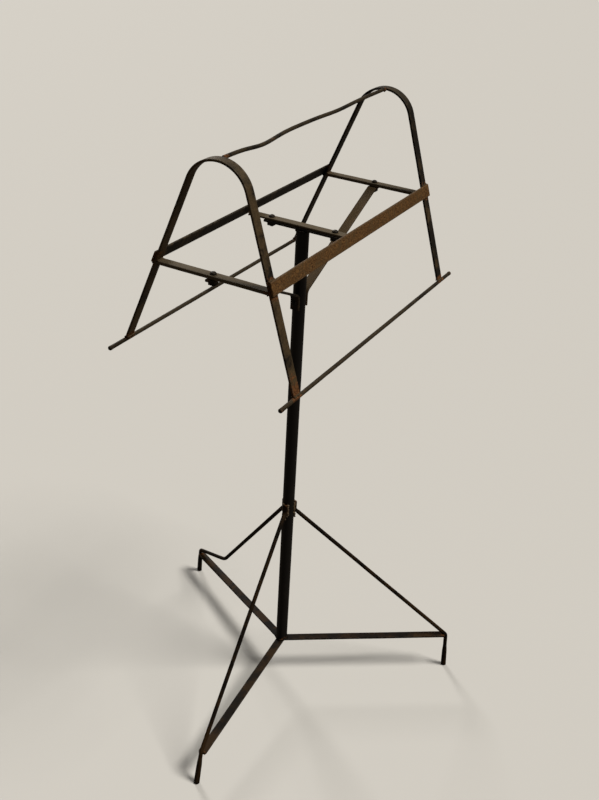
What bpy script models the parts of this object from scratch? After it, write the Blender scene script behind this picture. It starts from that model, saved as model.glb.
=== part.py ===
"""A double-sided wrought-iron music stand, modelled piece by piece.

Units are metres and +Z is up. The pole's axis is the world Z axis and the floor is Z = 0. The desk's
ridge runs along X, and its two sloping sides face -Y (front) and +Y (rear).
"""
import math
from collections import namedtuple

import bmesh
import bpy
from mathutils import Matrix, Vector

# Gaps
SEAT_GAP = 0.0003            # between two pieces that rest on each other
HOLE_CLEARANCE = 0.0003      # around a shank, on the radius

# Pole
POLE_DIAMETER = 0.0255
POLE_BOTTOM = 0.0925
POLE_TOP = 1.0760

# Desk frame
DESK_HALF_LENGTH = 0.294     # pole axis to the middle of each hoop, along X
HOOP_RISE = 0.2040           # pole top to the middle of the strap at the top of the arch
RAIL_RISE = 0.0170           # pole top to the middle of the rails
STRAP_WIDTH = 0.020
STRAP_THICKNESS = 0.005
RAIL_THICKNESS = 0.0045
CROSSBAR_WIDTH = 0.018
CROSSBAR_THICKNESS = 0.007
CROSSBAR_RISE = 0.003        # its top, above the centre bar's

# The desk's two sloping sides: the slope of its legs from upright, how far the middle of a leg's
# strap stands from the pole's axis at the rails, and how far below the rails the leg stops.
Side = namedtuple("Side", "name toward_y slope spread leg_drop rail_width finish")
FRONT = Side("front", -1, math.radians(17.0), 0.1098, 0.1760, 0.0245, "rust")
REAR = Side("rear", 1, math.radians(22.5), 0.1070, 0.1645, 0.0220, "brown")
SIDES = (FRONT, REAR)

# Head of the pole and the bar bolted to it
HEAD_WIDTH = 0.020
HEAD_THICKNESS = 0.005
HEAD_HALF_LENGTH = 0.079
CENTRE_BAR_WIDTH = 0.018
CENTRE_BAR_THICKNESS = 0.0045
CENTRE_BOLT_OFFSET = 0.0665  # pole axis to each bolt, along Y

# Bolts and square nuts
SHANK_DIAMETER = 0.006
BOLT_HEAD_DIAMETER = 0.0125
BOLT_HEAD_HEIGHT = 0.0045
NUT_ACROSS_FLATS = 0.0135
NUT_THICKNESS = 0.006
SHANK_TAIL = 0.002           # thread left showing under a nut

# Braces from the end crossbars to the pole
BRACE_WIDTH = 0.019
BRACE_THICKNESS = 0.005
BRACE_LAP = 0.022            # flat stretch under the crossbar
BRACE_DROP = 0.1260          # pole top to where the slope reaches the pole
BRACE_TAB = 0.030            # stretch that lies down the pole
BRACE_BEND = 0.014
BRACE_RIVET_DROP = 0.016     # below where the slope reaches the pole
RIVET_HEAD_DIAMETER = 0.012
RIVET_HEAD_HEIGHT = 0.004

# Round rods of the desk
LEDGE_ROD_DIAMETER = 0.0086
LEDGE_OVERHANG = 0.054       # past the middle of each hoop
LEDGE_END_SWELL = 1.12       # hammered ends, as a factor on the radius
RIDGE_ROD_DIAMETER = 0.0075
RIDGE_ROD_STEPS = 40
RIDGE_BENDS = ((-0.165, 0.0060, 0.050), (0.090, 0.0025, 0.060))  # place, sag and spread of each sag

# Tripod
STRETCHER_WIDTH = 0.018
STRETCHER_THICKNESS = 0.005
STRUT_DIAMETER = 0.0092
STRUT_TOP = 0.4690           # upper end of the flattened tab
STRUT_LEAVES_POLE = 0.4480   # where the slope meets the tab's line
STRUT_TAB_FLAT = 0.55        # tab thickness, as a share of the rod's diameter
STRUT_TAB_SPREAD = 1.35      # tab width, as a share of the rod's diameter
ANKLE_BEND = 0.012
FOOT_SWELLS = ((0.058, 1.0), (0.044, 1.25), (0.0, 1.40))  # height and radius factor down the foot

# Each leg: name, direction, ankle reach and height, toe reach, the height of the stretcher's outer
# end, and the rod's extra bends on its way down, as reach and height.
LEGS = (
    ("front", math.radians(-56.0), (0.3820, 0.0920), 0.3870, 0.0920, ()),
    ("rear", math.radians(62.0), (0.3980, 0.0700), 0.4040, 0.0600, ((0.2700, 0.1280),)),
    ("side", math.radians(184.0), (0.3620, 0.0720), 0.3800, 0.0660, ()),
)
DIP_BEND = 0.060             # bend radius where a strut's slope changes

# Round work
POLE_SIDES = 32
ROD_BEVEL_RESOLUTION = 3     # rounds a rod's section
ARC_STEP = math.radians(9.0)

POLE_RADIUS = POLE_DIAMETER / 2
HOOP_TOP = POLE_TOP + HOOP_RISE
RAIL_HEIGHT = POLE_TOP + RAIL_RISE
BRACE_FOOT_HEIGHT = POLE_TOP - BRACE_DROP
HOOP_OUTER_X = DESK_HALF_LENGTH + STRAP_WIDTH / 2
HOOP_INNER_X = DESK_HALF_LENGTH - STRAP_WIDTH / 2
HEAD_BOTTOM = POLE_TOP + SEAT_GAP
HEAD_TOP = HEAD_BOTTOM + HEAD_THICKNESS
BAR_BOTTOM = HEAD_TOP + SEAT_GAP
BAR_TOP = BAR_BOTTOM + CENTRE_BAR_THICKNESS
CROSSBAR_TOP = BAR_TOP + CROSSBAR_RISE
CROSSBAR_BOTTOM = CROSSBAR_TOP - CROSSBAR_THICKNESS
HUB_TOP = POLE_BOTTOM - SEAT_GAP

IRON = {
    "dark": ((0.030, 0.026, 0.024, 1.0), 0.62, 0.85),
    "brown": ((0.085, 0.062, 0.045, 1.0), 0.70, 0.70),
    "rust": ((0.210, 0.105, 0.052, 1.0), 0.82, 0.35),
}


# ---------------------------------------------------------------- scene helpers

def clear_scene():
    for obj in list(bpy.data.objects):
        bpy.data.objects.remove(obj, do_unlink=True)


def new_collection(name):
    collection = bpy.data.collections.new(name)
    bpy.context.scene.collection.children.link(collection)
    return collection


def iron(name, kind):
    """A material of the piece's own: its colour, roughness and metallic value."""
    colour, roughness, metallic = IRON[kind]
    material = bpy.data.materials.new(name)
    material.use_nodes = True
    shader = material.node_tree.nodes["Principled BSDF"]
    shader.inputs["Base Color"].default_value = colour
    shader.inputs["Roughness"].default_value = roughness
    shader.inputs["Metallic"].default_value = metallic
    material.diffuse_color = colour
    return material


def link_piece(obj, kind):
    """Put a finished piece in the stand's collection with its own material."""
    STAND.objects.link(obj)
    obj.data.materials.clear()
    obj.data.materials.append(iron(obj.name + "_iron", kind))
    return obj


def mesh_object(name, bm):
    bmesh.ops.recalc_face_normals(bm, faces=bm.faces)
    mesh = bpy.data.meshes.new(name)
    bm.to_mesh(mesh)
    bm.free()
    return bpy.data.objects.new(name, mesh)


def smooth_round_faces(obj, angle=math.radians(35.0)):
    """Shade curved stretches smooth and keep real edges sharp."""
    mesh = obj.data
    for polygon in mesh.polygons:
        polygon.use_smooth = True
    mesh.set_sharp_from_angle(angle=angle)


def apply_modifiers(obj):
    """Bake an object's modifiers into its mesh."""
    depsgraph = bpy.context.evaluated_depsgraph_get()
    baked = bpy.data.meshes.new_from_object(obj.evaluated_get(depsgraph))
    obj.modifiers.clear()
    obj.data = baked


def curve_to_mesh(obj):
    """Turn a curve object into a mesh object of the same name and place."""
    depsgraph = bpy.context.evaluated_depsgraph_get()
    mesh = bpy.data.meshes.new_from_object(obj.evaluated_get(depsgraph))
    bm = bmesh.new()
    bm.from_mesh(mesh)
    bmesh.ops.remove_doubles(bm, verts=bm.verts, dist=0.00001)
    bmesh.ops.recalc_face_normals(bm, faces=bm.faces)
    bm.to_mesh(mesh)
    bm.free()
    solid = bpy.data.objects.new(obj.name, mesh)
    solid.matrix_world = obj.matrix_world.copy()
    name = obj.name
    bpy.data.objects.remove(obj, do_unlink=True)
    solid.name = name
    return solid


# ---------------------------------------------------------------- shapes

def fillet_path(points, radius):
    """Points of a bent centre line, with each inner corner rounded as an arc of this radius."""
    path = [Vector(points[0])]
    for before, corner, after in zip(points, points[1:], points[2:]):
        corner = Vector(corner)
        to_before = (Vector(before) - corner).normalized()
        to_after = (Vector(after) - corner).normalized()
        half_angle = to_before.angle(to_after) / 2
        centre = corner + (to_before + to_after).normalized() * (radius / math.sin(half_angle))
        start = corner + to_before * (radius / math.tan(half_angle)) - centre
        end = corner + to_after * (radius / math.tan(half_angle)) - centre
        turn = start.angle(end)
        steps = max(2, math.ceil(turn / ARC_STEP))
        for step in range(steps + 1):
            share = step / steps
            arm = start * math.sin((1 - share) * turn) + end * math.sin(share * turn)
            path.append(centre + arm / math.sin(turn))
    path.append(Vector(points[-1]))
    return path


def strap_outline(path, thickness):
    """Closed outline of a flat bar seen on its edge, from its 2D centre line."""
    sides = ([], [])
    for index, point in enumerate(path):
        before = path[max(index - 1, 0)]
        after = path[min(index + 1, len(path) - 1)]
        inward = (point - before).normalized() if point != before else (after - point).normalized()
        outward = (after - point).normalized() if after != point else inward
        along = (inward + outward).normalized()
        offset = Vector((-along.y, along.x)) * (thickness / 2) / along.dot(outward)
        sides[0].append(point + offset)
        sides[1].append(point - offset)
    return sides[0] + sides[1][::-1]


def extruded_outline(name, outline, width, matrix):
    """A 2D outline extruded to this width, with its plane placed by matrix."""
    curve = bpy.data.curves.new(name, "CURVE")
    curve.dimensions = "2D"
    curve.fill_mode = "BOTH"
    curve.extrude = width / 2
    spline = curve.splines.new("POLY")
    spline.points.add(len(outline) - 1)
    for spline_point, (x, y) in zip(spline.points, outline):
        spline_point.co = (x, y, 0.0, 1.0)
    spline.use_cyclic_u = True
    obj = bpy.data.objects.new(name, curve)
    obj.matrix_world = matrix
    bpy.context.scene.collection.objects.link(obj)
    bpy.context.view_layer.update()
    return curve_to_mesh(obj)


def rod(name, points, diameter, swells=None, matrix=None):
    """A round rod along a list of points, with an optional radius factor at each point."""
    curve = bpy.data.curves.new(name, "CURVE")
    curve.dimensions = "3D"
    curve.bevel_depth = diameter / 2
    curve.bevel_resolution = ROD_BEVEL_RESOLUTION
    curve.use_fill_caps = True
    spline = curve.splines.new("POLY")
    spline.points.add(len(points) - 1)
    for index, (spline_point, point) in enumerate(zip(spline.points, points)):
        spline_point.co = (*point, 1.0)
        spline_point.radius = swells[index] if swells else 1.0
    obj = bpy.data.objects.new(name, curve)
    obj.matrix_world = matrix or Matrix.Identity(4)
    bpy.context.scene.collection.objects.link(obj)
    bpy.context.view_layer.update()
    return curve_to_mesh(obj)


def flat_bar(name, size, centre):
    """A straight flat bar: a box of this size around this centre."""
    bm = bmesh.new()
    bmesh.ops.create_cube(bm, size=1.0, matrix=Matrix.Diagonal((*size, 1.0)))
    obj = mesh_object(name, bm)
    obj.location = centre
    return obj


def cylinder(name, radius, depth, matrix, sides=24):
    bm = bmesh.new()
    bmesh.ops.create_cone(bm, cap_ends=True, segments=sides, radius1=radius, radius2=radius, depth=depth)
    obj = mesh_object(name, bm)
    obj.matrix_world = matrix
    return obj


def drill(obj, radius, depth, matrix):
    """Cut a round hole through a piece."""
    cutter = cylinder(obj.name + "_cutter", radius, depth, matrix)
    CUTTERS.objects.link(cutter)
    cutter.hide_render = True
    cutter.display_type = "WIRE"
    bpy.context.view_layer.update()
    cut = obj.modifiers.new("hole", "BOOLEAN")
    cut.operation = "DIFFERENCE"
    cut.solver = "EXACT"
    cut.object = cutter
    apply_modifiers(obj)


def domed_shank(name, profile, matrix, kind):
    """A turned fastener: its outer profile, from the top down to the bottom, swept round its axis."""
    mesh = bpy.data.meshes.new(name)
    mesh.from_pydata([(radius, 0.0, height) for radius, height in profile],
                     [(index, index + 1) for index in range(len(profile) - 1)], [])
    obj = bpy.data.objects.new(name, mesh)
    obj.matrix_world = matrix
    sweep = obj.modifiers.new("turn", "SCREW")
    sweep.steps = 24
    sweep.render_steps = 24
    sweep.use_merge_vertices = True
    sweep.merge_threshold = 0.00001
    STAND.objects.link(obj)
    bpy.context.view_layer.update()
    apply_modifiers(obj)
    STAND.objects.unlink(obj)
    smooth_round_faces(obj)
    return link_piece(obj, kind)


def dome_profile(radius, height, base, steps=5):
    """Points of a low dome from its crown down to its rim, above this base."""
    return [(radius * math.sin(step / steps * math.pi / 2),
             base + height * math.cos(step / steps * math.pi / 2)) for step in range(steps + 1)]


# ---------------------------------------------------------------- places that pieces share

def leg_spread(side, height):
    """Pole axis to the middle of a leg's strap at this height."""
    return side.spread - (height - RAIL_HEIGHT) * math.tan(side.slope)


def leg_end(side):
    """World Y and Z of the end of a leg, at the middle of its strap."""
    height = RAIL_HEIGHT - side.leg_drop
    return side.toward_y * leg_spread(side, height), height


def face_spread(side, height, off_middle):
    """Pole axis, at this height, to a plane this far outside the middle of a leg's strap."""
    return leg_spread(side, height) + off_middle / math.cos(side.slope)


def off_leg(side, height, off_middle):
    """World Y and Z of a point square off the middle of a leg's strap."""
    spread = leg_spread(side, height) + off_middle * math.cos(side.slope)
    return side.toward_y * spread, height + off_middle * math.sin(side.slope)


def upright(x, y, z):
    return Matrix.Translation((x, y, z))


# ---------------------------------------------------------------- desk

def hoop_arch():
    """Radius and middle (Y, Z) of the arc that touches both legs and the top of the hoop."""
    rise = HOOP_TOP - RAIL_HEIGHT
    narrowing = sum(rise * math.tan(side.slope) for side in SIDES)
    per_radius = {side: (1 - math.sin(side.slope)) / math.cos(side.slope) for side in SIDES}
    radius = (sum(side.spread for side in SIDES) - narrowing) / sum(per_radius.values())
    middle = FRONT.spread - rise * math.tan(FRONT.slope) - radius * per_radius[FRONT]
    return radius, Vector((-middle, HOOP_TOP - radius))


def hoop_path():
    """Centre line of a hoop in its own plane: Y across and Z up."""
    radius, centre = hoop_arch()
    start = math.pi - FRONT.slope
    sweep = start - REAR.slope
    steps = math.ceil(sweep / ARC_STEP)
    arch = []
    for step in range(steps + 1):
        angle = start - sweep * step / steps
        arch.append(centre + radius * Vector((math.cos(angle), math.sin(angle))))
    front_foot, rear_foot = (Vector(leg_end(side)) for side in SIDES)
    return [front_foot, *arch, rear_foot]


def make_hoop(name, x):
    outline = strap_outline(hoop_path(), STRAP_THICKNESS)
    plane = Matrix(((0, 0, 1, x), (1, 0, 0, 0), (0, 1, 0, 0), (0, 0, 0, 1)))
    hoop = extruded_outline(name, outline, STRAP_WIDTH, plane)
    smooth_round_faces(hoop)
    link_piece(hoop, "dark")


def make_rail(side):
    """A rail lapped on the outer faces of the two hoops' legs."""
    off_middle = STRAP_THICKNESS / 2 + SEAT_GAP + RAIL_THICKNESS / 2
    y, z = off_leg(side, RAIL_HEIGHT, off_middle)
    size = (2 * HOOP_OUTER_X, RAIL_THICKNESS, side.rail_width)
    rail = flat_bar("rail_" + side.name, size, (0, y, z))
    rail.rotation_euler.x = side.toward_y * side.slope
    link_piece(rail, side.finish)


def cross_piece(name, x, width, top, thickness, reach):
    """A flat bar laid flat across the desk; reach gives its end's spread on each side."""
    ends = [side.toward_y * reach(side) for side in SIDES]
    middle = (x, sum(ends) / 2, top - thickness / 2)
    return flat_bar(name, (width, ends[1] - ends[0], thickness), middle)


def make_crossbar(name, x):
    """A flat bar laid flat between a hoop's two legs, drilled for the brace's bolt."""
    def reach(side):
        return face_spread(side, CROSSBAR_TOP, -STRAP_THICKNESS / 2) - SEAT_GAP

    bar = cross_piece(name, x, CROSSBAR_WIDTH, CROSSBAR_TOP, CROSSBAR_THICKNESS, reach)
    link_piece(bar, "brown")
    drill(bar, SHANK_DIAMETER / 2 + HOLE_CLEARANCE, 4 * CROSSBAR_THICKNESS, upright(x, 0, CROSSBAR_TOP))


def make_centre_bar():
    """The flat bar that joins the two rails over the pole, drilled for its two bolts."""
    def reach(side):
        return face_spread(side, BAR_TOP, STRAP_THICKNESS / 2)

    bar = cross_piece("centre_bar", 0, CENTRE_BAR_WIDTH, BAR_TOP, CENTRE_BAR_THICKNESS, reach)
    link_piece(bar, "brown")
    for side in SIDES:
        place = upright(0, side.toward_y * CENTRE_BOLT_OFFSET, BAR_TOP)
        drill(bar, SHANK_DIAMETER / 2 + HOLE_CLEARANCE, 4 * CENTRE_BAR_THICKNESS, place)


def make_pole_head():
    """The short cross plate on the pole's top end."""
    middle = (HEAD_TOP + HEAD_BOTTOM) / 2
    head = flat_bar("pole_head", (HEAD_WIDTH, 2 * HEAD_HALF_LENGTH, HEAD_THICKNESS), (0, 0, middle))
    link_piece(head, "dark")
    for side in SIDES:
        place = upright(0, side.toward_y * CENTRE_BOLT_OFFSET, middle)
        drill(head, SHANK_DIAMETER / 2 + HOLE_CLEARANCE, 4 * HEAD_THICKNESS, place)


def make_ledge_rod(side):
    """A round rod welded across the leg ends; it carries the sheets of music."""
    drop = LEDGE_ROD_DIAMETER / 2 + SEAT_GAP
    y, z = leg_end(side)
    y += side.toward_y * drop * math.sin(side.slope)
    z -= drop * math.cos(side.slope)
    end = DESK_HALF_LENGTH + LEDGE_OVERHANG
    swell_length = LEDGE_ROD_DIAMETER
    points = [(-end, y, z), (swell_length - end, y, z), (end - swell_length, y, z), (end, y, z)]
    swells = [LEDGE_END_SWELL, 1.0, 1.0, LEDGE_END_SWELL]
    ledge = rod("ledge_rod_" + side.name, points, LEDGE_ROD_DIAMETER, swells=swells)
    smooth_round_faces(ledge)
    link_piece(ledge, "brown")


def make_ridge_rod():
    """The rod butted between the tops of the two arches, with its old hand bends."""
    end = HOOP_INNER_X - SEAT_GAP
    ridge_y = hoop_arch()[1].x
    points = []
    for index in range(RIDGE_ROD_STEPS + 1):
        x = end * (2 * index / RIDGE_ROD_STEPS - 1)
        sag = sum(depth * math.exp(-((x - place) / spread) ** 2) for place, depth, spread in RIDGE_BENDS)
        points.append((x, ridge_y, HOOP_TOP - sag))
    ridge = rod("ridge_rod", points, RIDGE_ROD_DIAMETER)
    smooth_round_faces(ridge)
    link_piece(ridge, "dark")


def brace_path():
    """Centre line of a brace in its own plane: X out from the pole and Z up."""
    lap = CROSSBAR_BOTTOM - SEAT_GAP - BRACE_THICKNESS / 2
    against_pole = POLE_RADIUS + SEAT_GAP + BRACE_THICKNESS / 2
    points = [
        Vector((DESK_HALF_LENGTH + BRACE_LAP / 2, lap)),
        Vector((DESK_HALF_LENGTH - BRACE_LAP / 2, lap)),
        Vector((against_pole, BRACE_FOOT_HEIGHT)),
        Vector((against_pole, BRACE_FOOT_HEIGHT - BRACE_TAB)),
    ]
    return fillet_path(points, BRACE_BEND)


def make_brace(name, side):
    """A bent flat bar from under an end crossbar down to the pole's side."""
    outline = strap_outline(brace_path(), BRACE_THICKNESS)
    plane = Matrix(((side, 0, 0, 0), (0, 0, side, 0), (0, 1, 0, 0), (0, 0, 0, 1)))
    brace = extruded_outline(name, outline, BRACE_WIDTH, plane)
    link_piece(brace, "brown")
    lap = CROSSBAR_BOTTOM - SEAT_GAP - BRACE_THICKNESS / 2
    hole = SHANK_DIAMETER / 2 + HOLE_CLEARANCE
    drill(brace, hole, 4 * BRACE_THICKNESS, upright(side * DESK_HALF_LENGTH, 0, lap))
    sideways = Matrix.Rotation(math.pi / 2, 4, "Y")
    tab = upright(side * (POLE_RADIUS + BRACE_THICKNESS / 2), 0, BRACE_FOOT_HEIGHT - BRACE_RIVET_DROP)
    drill(brace, hole, 4 * BRACE_THICKNESS, tab @ sideways)
    smooth_round_faces(brace)


# ---------------------------------------------------------------- fasteners

def make_bolt(name, x, y, top, grip):
    """A dome-headed bolt whose head rests on top, through grip of flat bar, into a square nut."""
    shank = SHANK_DIAMETER / 2
    base = top + SEAT_GAP
    tail = top - grip - SEAT_GAP - NUT_THICKNESS - SHANK_TAIL
    profile = dome_profile(BOLT_HEAD_DIAMETER / 2, BOLT_HEAD_HEIGHT, base)
    profile += [(shank, base), (shank, tail), (0.0, tail)]
    domed_shank(name + "_bolt", profile, upright(x, y, 0), "dark")

    size = (NUT_ACROSS_FLATS, NUT_ACROSS_FLATS, NUT_THICKNESS)
    middle = top - grip - SEAT_GAP - NUT_THICKNESS / 2
    nut = flat_bar(name + "_nut", size, (x, y, middle))
    link_piece(nut, "dark")
    drill(nut, shank + HOLE_CLEARANCE, 4 * NUT_THICKNESS, upright(x, y, middle))


def make_brace_rivet():
    """One rivet through both braces' tabs and the pole between them."""
    shank = SHANK_DIAMETER / 2
    face = POLE_RADIUS + SEAT_GAP + BRACE_THICKNESS + SEAT_GAP
    upper = dome_profile(RIVET_HEAD_DIAMETER / 2, RIVET_HEAD_HEIGHT, face)
    lower = [(radius, -height) for radius, height in reversed(upper)]
    profile = upper + [(shank, face), (shank, -face)] + lower
    place = upright(0, 0, BRACE_FOOT_HEIGHT - BRACE_RIVET_DROP) @ Matrix.Rotation(math.pi / 2, 4, "Y")
    domed_shank("brace_rivet", profile, place, "dark")


# ---------------------------------------------------------------- pole and tripod

def make_pole():
    """The round upright, drilled across for the braces' rivet."""
    length = POLE_TOP - POLE_BOTTOM
    pole = cylinder("pole", POLE_RADIUS, length, upright(0, 0, POLE_BOTTOM + length / 2), POLE_SIDES)
    link_piece(pole, "dark")
    across = upright(0, 0, BRACE_FOOT_HEIGHT - BRACE_RIVET_DROP) @ Matrix.Rotation(math.pi / 2, 4, "Y")
    drill(pole, SHANK_DIAMETER / 2 + HOLE_CLEARANCE, 2 * POLE_DIAMETER, across)
    smooth_round_faces(pole)


def strut_path(ankle, toe, bends):
    """Centre line of a strut in its own plane: reach out from the pole's axis, and height."""
    tab_reach = POLE_RADIUS + SEAT_GAP + STRUT_DIAMETER * STRUT_TAB_FLAT / 2
    top = Vector((tab_reach, STRUT_TOP))
    leave = Vector((tab_reach, STRUT_LEAVES_POLE))
    slope = [leave, *(Vector(bend) for bend in bends), Vector(ankle)]
    foot = [Vector((toe, 0.0)).lerp(Vector(ankle), height / ankle[1]) for height, _ in FOOT_SWELLS]
    path = fillet_path([top, leave, slope[1]], ANKLE_BEND)[:-1]
    if bends:
        path += fillet_path(slope, DIP_BEND)[1:-1]
    path += fillet_path([slope[-2], slope[-1], Vector((toe, 0.0))], ANKLE_BEND)[1:-1]
    return path + foot


def make_strut(name, direction, path):
    """A round rod: a flattened tab on the pole, the slope, the ankle and the foot."""
    spine = [(point.x, 0.0, point.y) for point in path]
    foot = [factor for _, factor in FOOT_SWELLS]
    swells = [1.0] * (len(spine) - len(foot)) + foot
    strut = rod(name, spine, STRUT_DIAMETER, swells=swells, matrix=Matrix.Rotation(direction, 4, "Z"))
    flatten_tab(strut, path)
    for vertex in strut.data.vertices:
        if vertex.co.z < STRUT_DIAMETER / 2:
            vertex.co.z = 0.0
    smooth_round_faces(strut)
    link_piece(strut, "brown")


def flatten_tab(strut, path):
    """Forge the rod's upper end flat against the pole, fading out where the slope leaves it."""
    tab_reach = path[0].x
    for vertex in strut.data.vertices:
        here = Vector((vertex.co.x, vertex.co.z))
        index = min(range(len(path)), key=lambda number: (path[number] - here).length)
        share = 1 - min((path[index].x - tab_reach) / (STRUT_DIAMETER / 2), 1.0)
        along = (path[min(index + 1, len(path) - 1)] - path[max(index - 1, 0)]).normalized()
        across = Vector((-along.y, along.x))
        squash = (here - path[index]).dot(across) * share * (STRUT_TAB_FLAT - 1)
        vertex.co.x += across.x * squash
        vertex.co.z += across.y * squash
        vertex.co.y *= 1 + (STRUT_TAB_SPREAD - 1) * share


def distance_to_path(point, path):
    """Shortest distance from a point to a centre line."""
    shortest = math.inf
    for start, end in zip(path, path[1:]):
        along = end - start
        share = min(max((point - start).dot(along) / along.length_squared, 0.0), 1.0)
        shortest = min(shortest, (point - start - along * share).length)
    return shortest


def stretcher_reach(path, ankle, end_height):
    """How far a stretcher can run before its end's corners meet the strut's round side."""
    needed = STRUT_DIAMETER / 2 + SEAT_GAP
    reach = ankle[0]
    corners = [end_height - STRETCHER_THICKNESS / 2, end_height + STRETCHER_THICKNESS / 2]
    while min(distance_to_path(Vector((reach, height)), path) for height in corners) < needed:
        reach -= SEAT_GAP / 4
    return reach


def make_stretcher(name, direction, path, ankle, end_height):
    """A flat bar from under the pole out to the strut, mitred against its two neighbours."""
    half = STRETCHER_WIDTH / 2
    hub_height = HUB_TOP - STRETCHER_THICKNESS / 2
    reach = stretcher_reach(path, ankle, end_height)
    droop = math.atan2(hub_height - end_height, reach)
    tip = SEAT_GAP
    shoulder = tip + half / math.tan(math.pi / 3)
    end = reach / math.cos(droop) - SEAT_GAP
    outline = [(tip, 0.0), (shoulder, -half), (end, -half), (end, half), (shoulder, half)]
    plane = upright(0, 0, hub_height) @ Matrix.Rotation(direction, 4, "Z") @ Matrix.Rotation(droop, 4, "Y")
    bar = extruded_outline(name, outline, STRETCHER_THICKNESS, plane)
    link_piece(bar, "brown")


def build():
    make_pole()
    make_pole_head()
    make_centre_bar()
    for name, side in (("left", -1), ("right", 1)):
        make_hoop("hoop_" + name, side * DESK_HALF_LENGTH)
        make_crossbar("crossbar_" + name, side * DESK_HALF_LENGTH)
        make_brace("brace_" + name, side)
        make_bolt("brace_" + name, side * DESK_HALF_LENGTH, 0, CROSSBAR_TOP,
                  CROSSBAR_THICKNESS + SEAT_GAP + BRACE_THICKNESS)
    for side in SIDES:
        make_rail(side)
        make_ledge_rod(side)
        make_bolt("head_" + side.name, 0, side.toward_y * CENTRE_BOLT_OFFSET, BAR_TOP,
                  CENTRE_BAR_THICKNESS + SEAT_GAP + HEAD_THICKNESS)
    make_brace_rivet()
    make_ridge_rod()
    for name, direction, ankle, toe, end_height, bends in LEGS:
        path = strut_path(ankle, toe, bends)
        make_strut("strut_" + name, direction, path)
        make_stretcher("stretcher_" + name, direction, path, ankle, end_height)


clear_scene()
STAND = new_collection("music_stand")
CUTTERS = new_collection("cutters")
build()
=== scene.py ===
# %% [markdown]
# # A double-sided wrought-iron music stand
#
# The stand is a plain round pole on a tripod of bent rods, with an open desk of flat straps on top.
# Two arched hoops, two rails, two ledge rods and a ridge rod make the desk, and everything is old iron
# that a smith cut, bent and welded by hand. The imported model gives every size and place, so this
# lesson only has to answer one question for each piece: how does forged, rusted iron really look?
#
# All pieces are plain meshes in metres, with +Z up and the pole's axis at X = Y = 0.

import math
from collections import namedtuple

import bmesh
import bpy
from mathutils import Matrix, Vector
from mathutils.kdtree import KDTree


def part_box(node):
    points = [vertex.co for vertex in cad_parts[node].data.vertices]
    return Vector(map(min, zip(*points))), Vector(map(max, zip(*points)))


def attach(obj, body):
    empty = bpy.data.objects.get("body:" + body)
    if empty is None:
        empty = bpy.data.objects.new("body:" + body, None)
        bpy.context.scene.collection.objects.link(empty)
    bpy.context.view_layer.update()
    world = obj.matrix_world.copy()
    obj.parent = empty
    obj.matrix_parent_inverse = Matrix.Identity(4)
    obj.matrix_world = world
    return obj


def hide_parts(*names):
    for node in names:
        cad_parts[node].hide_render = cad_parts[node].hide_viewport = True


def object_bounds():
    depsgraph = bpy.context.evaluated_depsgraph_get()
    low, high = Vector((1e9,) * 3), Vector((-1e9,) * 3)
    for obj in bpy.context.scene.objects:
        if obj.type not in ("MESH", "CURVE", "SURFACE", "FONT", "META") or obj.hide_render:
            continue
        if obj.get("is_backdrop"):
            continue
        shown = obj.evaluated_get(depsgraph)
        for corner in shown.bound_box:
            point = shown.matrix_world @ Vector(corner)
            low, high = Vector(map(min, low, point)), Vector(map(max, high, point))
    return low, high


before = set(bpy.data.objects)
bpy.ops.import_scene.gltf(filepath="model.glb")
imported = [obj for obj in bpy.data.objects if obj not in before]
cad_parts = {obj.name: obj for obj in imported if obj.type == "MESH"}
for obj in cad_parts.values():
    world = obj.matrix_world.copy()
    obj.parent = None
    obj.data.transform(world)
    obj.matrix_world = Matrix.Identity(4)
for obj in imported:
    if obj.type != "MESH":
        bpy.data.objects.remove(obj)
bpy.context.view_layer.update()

# %% [markdown]
# ## Sizes the pieces share
#
# A node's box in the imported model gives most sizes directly. A box can't tell how far a leg leans or
# where a rod bends, so those few numbers are repeated here under the names a smith would use for
# them. `SHY` keeps every new surface a hair inside the drawn one, so that the finished stand never
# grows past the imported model.

# %% Sizes and shared paths
MM = 0.001
SHY = 0.15 * MM

Side = namedtuple("Side", "name toward_y slope spread leg_end")
FRONT = Side("front", -1, math.radians(17.0), 0.1098, 0.9170)
REAR = Side("rear", 1, math.radians(22.5), 0.1070, 0.9285)
SIDES = (FRONT, REAR)
RAIL_HEIGHT = 1.0930

Leg = namedtuple("Leg", "name direction ankle toe stretcher_end dips")
LEGS = (
    Leg("front", math.radians(-56.0), (0.3820, 0.0920), 0.3870, 0.0920, ()),
    Leg("rear", math.radians(62.0), (0.3980, 0.0700), 0.4040, 0.0600, ((0.2700, 0.1280),)),
    Leg("side", math.radians(184.0), (0.3620, 0.0720), 0.3800, 0.0660, ()),
)


def size(node):
    low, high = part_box(node)
    return high - low


def middle(node):
    low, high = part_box(node)
    return (low + high) / 2


POLE_RADIUS = size("pole").x / 2
POLE_BOTTOM, POLE_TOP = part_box("pole")[0].z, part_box("pole")[1].z
STRAP_WIDTH = size("hoop_left").x
STRAP_THICKNESS = 5.0 * MM
RAIL_THICKNESS = 4.5 * MM
HOOP_X = middle("hoop_right").x
HOOP_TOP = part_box("hoop_right")[1].z - STRAP_THICKNESS / 2
DESK_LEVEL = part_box("centre_bar")[1].z
GAP = 0.3 * MM
print("hoops at x = +-%.4f, their tops at %.4f, the centre bar's at %.4f" % (HOOP_X, HOOP_TOP, DESK_LEVEL))

# %% [markdown]
# ## Centre lines
#
# A smith starts a bend on the horn of the anvil, so a corner in bar iron is always a small arc.
# `rounded` turns a list of corners into such a line. The result is only a chain of points. The
# thickness of the iron comes later, from one node tree that every bar shares.

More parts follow.
